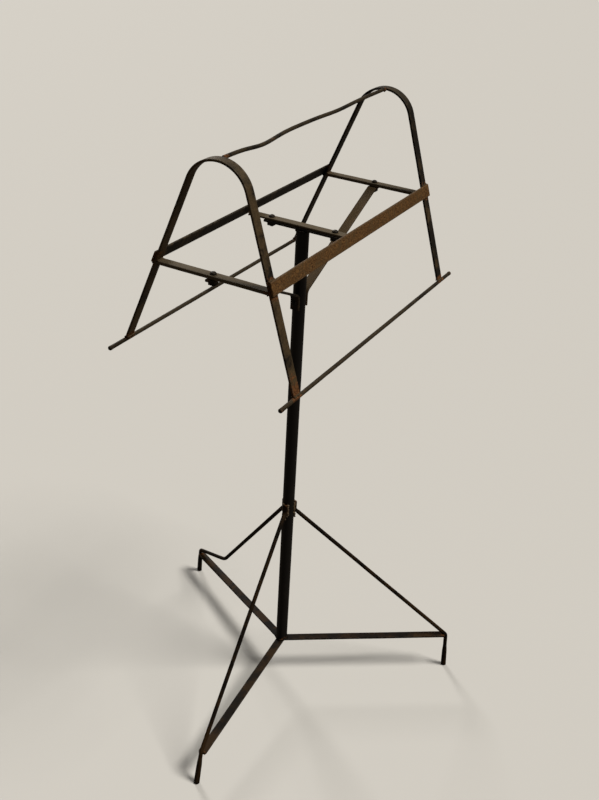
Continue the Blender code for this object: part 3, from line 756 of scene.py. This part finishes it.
def forge_stretcher(leg):
    """A flat bar from under the pole to the strut, cut off square to meet its two neighbours."""
    hub = POLE_BOTTOM - GAP - STRETCHER_THICKNESS / 2
    turn = Matrix.Rotation(leg.direction, 4, "Z")
    reach = leg.ankle[0] - STRUT_DIAMETER / 2 - GAP
    across = turn @ Vector((0, 1, 0))
    line = [turn @ Vector((STRETCHER_START, 0, hub)), turn @ Vector((reach, 0, leg.stretcher_end))]
    piece = forge("flat_stretcher_" + leg.name, line, STRETCHER_WIDTH, STRETCHER_THICKNESS, tuple(across),
                  leg_iron, "browned_iron", ["stretcher_" + leg.name])
    for other in LEGS:
        if other is leg:
            continue
        apart = math.remainder(other.direction - leg.direction, 2 * math.pi)
        halfway = leg.direction + apart / 2
        normal = Vector((math.sin(halfway), -math.cos(halfway), 0)) * math.copysign(1, apart)
        bm = bmesh.new()
        bm.from_mesh(piece.data)
        cut = bmesh.ops.bisect_plane(bm, geom=bm.verts[:] + bm.edges[:] + bm.faces[:],
                                     plane_co=normal * SHY, plane_no=-normal, clear_outer=True)
        rim = [item for item in cut["geom_cut"] if isinstance(item, bmesh.types.BMEdge)]
        bmesh.ops.holes_fill(bm, edges=rim, sides=0)
        bm.to_mesh(piece.data)
        bm.free()


for leg in LEGS:
    forge_strut(leg)
    forge_stretcher(leg)
print("with the tripod:", len(PIECES), "pieces")

# %% [markdown]
# ## Bolts, nuts and the rivet
#
# The desk can be taken off the pole, so bolts with square nuts hold it there, and one rivet closes
# both braces on the pole. A bolt is turned from round bar, so the round section of the same tree
# makes it too: the radius factors along its axis are its profile, from the tail to the worn dome.
# The thread that shows under each nut is a small ridge on a spiral, from a tree of its own.

# %% Fasteners
SHANK, HEAD_RADIUS, HEAD_HEIGHT = 6.0 * MM, size("head_front_bolt").x / 2, 4.5 * MM


def dome(height, steps=7):
    """Heights and radius factors of a low worn dome, from its rim to its crown."""
    angles = [index / steps * math.pi / 2 for index in range(steps + 1)]
    return [(height * math.sin(angle), math.cos(angle)) for angle in angles]


def fastener(name, start, direction, profile, radius, node_name):
    """A turned piece: profile is a list of distances from start with a radius factor at each."""
    start, direction = Vector(start), Vector(direction)
    path = [start + direction * distance for distance, _ in profile]
    forge(name, path, 2 * radius, 2 * radius, (0, 1, 0), bolt_black, "blackened_iron", [node_name],
          radii=[max(factor, 0.08) for _, factor in profile], Round=True, Section_Points=28,
          Step=0.45 * MM, Dent_Size=4.0 * MM, Dent_Depth=0.25 * MM, Waver=0.0)


def thread_tree():
    tree, given, result = open_tree(
        "bolt_thread", "GeometryNodeTree",
        {"Place": "Geometry", "Radius": 0.003, "Pitch": 0.001, "Turns": 3.0, "Ridge": 0.0003,
         "Iron": "Material"},
        {"Thread": "Geometry"})
    height = times(tree, given["Pitch"], given["Turns"])
    spiral = shape(tree, "CurveSpiral",
                   {"Resolution": 20, "Rotations": given["Turns"], "Start Radius": given["Radius"],
                    "End Radius": given["Radius"], "Height": height})
    ridge = shape(tree, "CurvePrimitiveCircle", {"Resolution": 4, "Radius": given["Ridge"]},
                  mode="RADIUS")
    thread = shape(tree, "CurveToMesh", {"Curve": spiral, "Profile Curve": ridge, "Fill Caps": True})
    spots = shape(tree, "InstanceOnPoints", {"Points": given["Place"], "Instance": thread})
    return close_shape(tree, spots, given["Iron"], result["Thread"])


tails = []
for label in ("head_front", "head_rear", "brace_left", "brace_right"):
    low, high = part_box(label + "_bolt")
    centre, rise = (low + high) / 2, high.z - low.z - 2 * SHY
    shank = SHANK / 2 / HEAD_RADIUS
    seat = rise - HEAD_HEIGHT
    rim = 0.5 * MM
    profile = [(0, shank * 0.8), (0.4 * MM, shank), (seat - 0.05 * MM, shank), (seat, 0.94),
               (seat + rim, 1.0)]
    profile += [(seat + rim + distance, factor) for distance, factor in dome(HEAD_HEIGHT - rim)[1:]]
    fastener("turned_" + label + "_bolt", (centre.x, centre.y, low.z + SHY), (0, 0, 1), profile,
             HEAD_RADIUS - SHY, label + "_bolt")
    low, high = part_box(label + "_nut")
    centre = (low + high) / 2
    path = [(centre.x, centre.y, low.z + SHY), (centre.x, centre.y, high.z - SHY)]
    forge("square_" + label + "_nut", path, high.x - low.x, high.y - low.y, (1, 0, 0), bolt_black,
          "blackened_iron", [label + "_nut"], Corner=1.0 * MM, Step=0.8 * MM, Dent_Size=4.0 * MM, Waver=0.0)
    tails.append((centre.x, centre.y, low.z - 2.0 * MM))

threads = run_tree("bolt_threads", new_mesh("tails", tails), thread_tree(), Radius=SHANK / 2 - SHY,
                   Pitch=1.0 * MM, Turns=2.0, Iron=bolt_black)
place("bolt_threads", threads, "blackened_iron")

low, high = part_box("brace_rivet")
length, flat = high.x - low.x - 2 * SHY, 0.6 * MM
RIVET_HEAD, RIVET_RADIUS = 4.0 * MM, 6.0 * MM
crown = dome(RIVET_HEAD - flat)
profile = [(RIVET_HEAD - flat - distance, factor) for distance, factor in reversed(crown)]
profile += [(RIVET_HEAD, 0.95), (RIVET_HEAD + 0.05 * MM, 0.5)]
profile += [(length - distance, factor) for distance, factor in reversed(profile)]
fastener("rivet_braces", (low.x + SHY, 0, rivet_level), (1, 0, 0), profile, RIVET_RADIUS - SHY,
         "brace_rivet")
print("fasteners in place:", len(PIECES), "pieces")

# %% [markdown]
# ## Welds
#
# Every joint that isn't bolted was welded or brazed by hand, and the joints are what makes such a
# stand look made rather than drawn. A bead is a row of overlapping drops of metal along a joint.
# The tree drops a small ball at even steps on each line, each a little bigger or smaller and a
# little off the line, melts them into one skin through a volume, and roughens it.

# %% The weld bead tree
def weld_tree():
    tree, given, result = open_tree(
        "weld_bead", "GeometryNodeTree",
        {"Joint": "Geometry", "Bead": 0.002, "Spacing": 0.0018, "Scatter": 0.0006, "Fineness": 0.0005,
         "Roughness": 0.0005, "Seed": 0, "Iron": "Material"},
        {"Weld": "Geometry"})
    line = shape(tree, "MeshToCurve", {"Mesh": given["Joint"]})
    drops = shape(tree, "CurveToPoints", {"Curve": line, "Length": given["Spacing"]}, mode="LENGTH")

    def random_vector(low, high, seed):
        inputs = {"Min": low, "Max": high, "Seed": seed}
        return node(tree, "FunctionNodeRandomValue", inputs, data_type="FLOAT_VECTOR").outputs[0]

    scatter = random_vector((-1.0, -1.0, -1.0), (1.0, 1.0, 1.0), given["Seed"])
    scatter = vectors(tree, "SCALE", scatter, given["Scatter"])
    drops = shape(tree, "SetPosition", {"Geometry": drops, "Offset": scatter})
    ball = shape(tree, "MeshIcoSphere", {"Radius": given["Bead"], "Subdivisions": 3})
    grow = random_vector((0.72, 0.72, 0.72), (1.28, 1.28, 1.28), maths(tree, "ADD", given["Seed"], 7.0))
    beads = shape(tree, "InstanceOnPoints", {"Points": drops, "Instance": ball, "Scale": grow})
    beads = shape(tree, "RealizeInstances", {"Geometry": beads})
    melt = shape(tree, "MeshToVolume",
                 {"Mesh": beads, "Voxel Size": given["Fineness"], "Interior Band Width": 0.006},
                 resolution_mode="VOXEL_SIZE")
    skin = shape(tree, "VolumeToMesh", {"Volume": melt, "Threshold": 0.12, "Adaptivity": 0.1},
                 resolution_mode="GRID")
    here = shape(tree, "InputPosition")
    rough = node(tree, "ShaderNodeTexNoise", {"Vector": here, "Scale": 380.0, "Detail": 2.0}).outputs["Fac"]
    rough = times(tree, maths(tree, "SUBTRACT", rough, 0.5), given["Roughness"])
    outward = node(tree, "GeometryNodeInputNormal").outputs["Normal"]
    rough = vectors(tree, "SCALE", outward, rough)
    skin = shape(tree, "SetPosition", {"Geometry": skin, "Offset": rough})
    skin = shape(tree, "SetShadeSmooth", {"Geometry": skin, "Shade Smooth": True})
    return close_shape(tree, skin, given["Iron"], result["Weld"])


WELD_BEAD = weld_tree()
print("weld tree:", len(WELD_BEAD.nodes), "nodes")

# %% [markdown]
# ## Where the welds are
#
# The welds follow the joints: across each strap where a rail or a cross bar meets it, along the cut
# ends of the legs on the ledge rods, round the ends of the ridge rod, and in lumps on the pole where
# the struts were brazed on. Lines of one kind go through the tree together.

# %% Weld lines
def across_strap(x, y, z, half=STRAP_WIDTH / 2 - 1.5 * MM):
    return [(x - half, y, z), (x, y, z), (x + half, y, z)]


def ring(centre, radius, axis="Z", count=20):
    """A closed circle of points round the X or the Z axis."""
    points = []
    for index in range(count + 1):
        angle = 2 * math.pi * index / count
        first, second = math.cos(angle), math.sin(angle)
        offset = Vector((0, first, second) if axis == "X" else (first, second, 0))
        points.append(Vector(centre) + radius * offset)
    return points


TAB_EDGE_HEIGHTS, TAB_FOOT_HEIGHTS = (0.4680, 0.4520, 0.4400), (0.4440, 0.4370, 0.4310)
ANKLE_LUMP = ((-6 * MM, 0), (0, 2 * MM), (6 * MM, 0))    # sideways and up from a stretcher's end


ledge_lines, cross_lines, rail_lines, ridge_lines, tab_lines, ankle_lines = [], [], [], [], [], []
for side in SIDES:
    for x in (-HOOP_X, HOOP_X):
        foot_y = side.toward_y * leg_spread(side, side.leg_end)
        for face in (-1, 1):
            y = foot_y + face * (STRAP_THICKNESS / 2 + 0.2 * MM) * math.cos(side.slope)
            ledge_lines.append(across_strap(x, y, side.leg_end + 0.5 * MM))
        bar_low, bar_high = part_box("crossbar_left")
        end_y = (bar_low if side is FRONT else bar_high).y
        for level in (bar_high.z - 0.4 * MM, bar_low.z + 0.4 * MM):
            cross_lines.append(across_strap(x, end_y - side.toward_y * 0.3 * MM, level, 7.5 * MM))
        rail_half = size("rail_" + side.name).z / 2
        for level in (-1, 1):
            height = RAIL_HEIGHT + level * (rail_half - 0.5 * MM)
            rail_lines.append(across_strap(x, *off_leg(side, height, STRAP_THICKNESS / 2 + 0.8 * MM)))
    end_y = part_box("centre_bar")[0 if side is FRONT else 1].y
    rail_lines.append(across_strap(0, end_y + side.toward_y * 0.3 * MM, DESK_LEVEL - 0.3 * MM, 7.5 * MM))
    rail_lines.append(across_strap(0, end_y, DESK_LEVEL - 4.5 * MM, 7.5 * MM))
for sign in (-1, 1):
    ridge_lines.append(ring((sign * (ridge_end - 0.6 * MM), RIDGE_Y, HOOP_TOP - 1.6 * MM), 2.2 * MM, "X"))
ridge_lines.append([(-ridge_end, RIDGE_Y, HOOP_TOP - 3.0 * MM),
                    (-ridge_end + 9 * MM, RIDGE_Y, HOOP_TOP - 2.4 * MM)])
for leg in LEGS:
    turn = Matrix.Rotation(leg.direction, 4, "Z")
    for edge in (-1, 1):
        tab_lines.append([turn @ Vector((POLE_RADIUS - 0.3 * MM, edge * 4.8 * MM, z))
                          for z in TAB_EDGE_HEIGHTS])
    tab_lines.append([turn @ Vector((POLE_RADIUS + 0.8 * MM, 0, z)) for z in TAB_FOOT_HEIGHTS])
    reach = leg.ankle[0] - STRUT_DIAMETER / 2
    ankle_lines.append([turn @ Vector((reach, y, leg.stretcher_end + z)) for y, z in ANKLE_LUMP])
    ankle_lines.append([turn @ Vector((reach, y, leg.stretcher_end - 2 * MM)) for y in (-6 * MM, 6 * MM)])
hub_lines = [ring((0, 0, POLE_BOTTOM + 0.5 * MM), POLE_RADIUS),
             ring((0, 0, POLE_TOP - 1.0 * MM), POLE_RADIUS - 0.5 * MM)]


def lay_weld(name, lines, bead, finish, slot):
    """One piece of weld metal along these lines."""
    points, links = [], []
    for line in lines:
        start = len(points)
        points += line
        links += [(start + index, start + index + 1) for index in range(len(line) - 1)]
    weld = run_tree(name, new_mesh(name, points, links), WELD_BEAD, Bead=bead, Spacing=bead * 0.9,
                    Scatter=bead * 0.28, Fineness=0.5 * MM, Roughness=0.5 * MM, Seed=next(seeds),
                    Iron=finish)
    return place(name, weld, slot)


WELDS = [
    lay_weld("weld_ledge_rods", ledge_lines, 1.8 * MM, weld_rust, "rusty_iron"),
    lay_weld("weld_crossbars", cross_lines, 1.7 * MM, weld_rust, "rusty_iron"),
    lay_weld("weld_rails", rail_lines, 1.3 * MM, weld_rust, "rusty_iron"),
    lay_weld("weld_ridge_rod", ridge_lines, 1.7 * MM, weld_rust, "rusty_iron"),
    lay_weld("weld_strut_tabs", tab_lines, 2.6 * MM, braze_brown, "browned_iron"),
    lay_weld("weld_ankles", ankle_lines, 1.9 * MM, leg_iron, "browned_iron"),
    lay_weld("weld_pole_ends", hub_lines, 1.8 * MM, leg_iron, "browned_iron"),
]
print("welds:", {piece.name: len(piece.data.polygons) for piece in WELDS})

# %% [markdown]
# ## Marks near the joints
#
# Welding burns the skin off the iron round a joint, and that is where it rusts first. Each point of
# each piece gets a mark, `joint`, which is 1 at a weld and fades out over a centimetre or two. The
# left hoop's front leg has stood damp at its lower end, so there the mark reaches further up. The
# aged iron group reads the mark to bring its rust up.

# %% Joint marks
REACH, DAMP_REACH, DAMP_STRENGTH = 0.011, 0.034, 1.3
DAMP_FOOT = Vector((-HOOP_X, -leg_spread(FRONT, FRONT.leg_end), FRONT.leg_end))
weld_lines = ledge_lines + cross_lines + rail_lines + ridge_lines + tab_lines + ankle_lines + hub_lines
near_joint = finder([Vector(point) for line in weld_lines for point in line])
triangles = 0
for piece in PIECES:
    mesh = piece.data
    damp = DAMP_STRENGTH if piece.name == "strap_hoop_left" else 0.0
    marks = []
    for vertex in mesh.vertices:
        near_weld = math.exp(-(near_joint.find(vertex.co)[2] / REACH) ** 2)
        near_damp = damp * math.exp(-((vertex.co - DAMP_FOOT).length / DAMP_REACH) ** 2)
        marks.append(max(near_weld, near_damp))
    mesh.attributes.new("joint", "FLOAT", "POINT").data.foreach_set("value", marks)
    if "radius" in mesh.attributes:
        mesh.attributes.remove(mesh.attributes["radius"])
    triangles += sum(len(polygon.vertices) - 2 for polygon in mesh.polygons)
print("triangles in all:", triangles)

# %% [markdown]
# ## The room
#
# The room is a plain pale floor, one soft lamp high up on the stand's front side, and a weaker one
# behind it that draws a thin bright line along the back edges. Iron this dark takes its shape from
# the lamps alone, so faces turned away from both go nearly black. Both are sun lamps, which light
# the whole floor evenly, and their angle softens the shadows. Floor and room look pale to the
# camera, but the light that bounces off them is as weak as from brown paper. A Light Path node
# tells the two apart. The room has the floor's colour, so no horizon cuts the picture.

# %% Floor and lights
FLOOR_REACH = 60
FLOOR_BOUNCE, FLOOR_SEEN = (0.120, 0.100, 0.078, 1.0), (0.412, 0.400, 0.376, 1.0)
ROOM_BOUNCE, ROOM_SEEN = 0.10, 0.66

corners = [(x * FLOOR_REACH, y * FLOOR_REACH, 0) for x, y in ((-1, -1), (1, -1), (1, 1), (-1, 1))]
floor_mesh = new_mesh("floor", corners, faces=[(0, 1, 2, 3)])
floor = show("floor", floor_mesh)
paper = bpy.data.materials.new("pale_floor")
paper.use_nodes = True
paper_shader = paper.node_tree.nodes["Principled BSDF"]
paper_seen = node(paper.node_tree, "ShaderNodeLightPath").outputs["Is Camera Ray"]
paper_tone = mix(paper.node_tree, paper_seen, FLOOR_BOUNCE, FLOOR_SEEN)
paper.node_tree.links.new(paper_tone, paper_shader.inputs["Base Color"])
paper_shader.inputs["Roughness"].default_value = 0.9
paper_shader.inputs["Specular IOR Level"].default_value = 0.1
floor_mesh.materials.append(paper)
floor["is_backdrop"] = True

world = bpy.data.worlds.new("room")
bpy.context.scene.world = world
world.use_nodes = True
air = world.node_tree.nodes["Background"]
seen = node(world.node_tree, "ShaderNodeLightPath").outputs["Is Camera Ray"]
strength = remap(world.node_tree, seen, 0.0, 1.0, ROOM_BOUNCE, ROOM_SEEN)
world.node_tree.links.new(strength, air.inputs["Strength"])
air.inputs["Color"].default_value = (1.0, 0.94, 0.84, 1.0)


def soft_lamp(name, comes_from, power, spread, colour):
    """A sun lamp that shines from a direction, with a spread in degrees that softens its shadows."""
    lamp = bpy.data.lights.new(name, "SUN")
    lamp.energy, lamp.angle, lamp.color = power, math.radians(spread), colour
    holder = show(name, lamp)
    holder.location = Vector(comes_from) * 3
    holder.rotation_euler = Vector(comes_from).to_track_quat("Z", "Y").to_euler()


soft_lamp("main_light", (0.14, -0.52, 0.85), 4.3, 20.0, (1.0, 0.97, 0.92))
soft_lamp("back_light", (0.60, 0.75, 0.50), 2.0, 14.0, (1.0, 0.98, 0.95))

# %% [markdown]
# ## The camera
#
# The camera stands at a grown person's eye level, a little to the left of the desk's front, and looks
# down past the hoops at the tripod. It is rolled a few degrees, as a hand-held one often is.

# %% Camera
CAMERA_AT = Vector((-1.6218, -0.8834, 1.7685))
TURN, TILT, ROLL = math.radians(-61.77), math.radians(-29.66), math.radians(3.18)
LENS = 47.84
ahead = Vector((-math.sin(TURN) * math.cos(TILT), math.cos(TURN) * math.cos(TILT), math.sin(TILT)))
level = Vector((math.cos(TURN), math.sin(TURN), 0))
top = level.cross(ahead)
right = level * math.cos(ROLL) + top * math.sin(ROLL)
above = top * math.cos(ROLL) - level * math.sin(ROLL)
camera_data = bpy.data.cameras.new("camera")
camera_data.sensor_width = 36.0
camera_data.lens = LENS
camera = show("camera", camera_data)
camera.matrix_world = Matrix((right, above, -ahead)).transposed().to_4x4()
camera.location = CAMERA_AT
bpy.context.scene.camera = camera
bpy.context.scene.view_settings.view_transform = "Standard"

# %% [markdown]
# ## Measure and finish
#
# The finished stand is meant to be no bigger than the imported one, and here the box round it is measured.

# %% Sizes out
low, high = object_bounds()
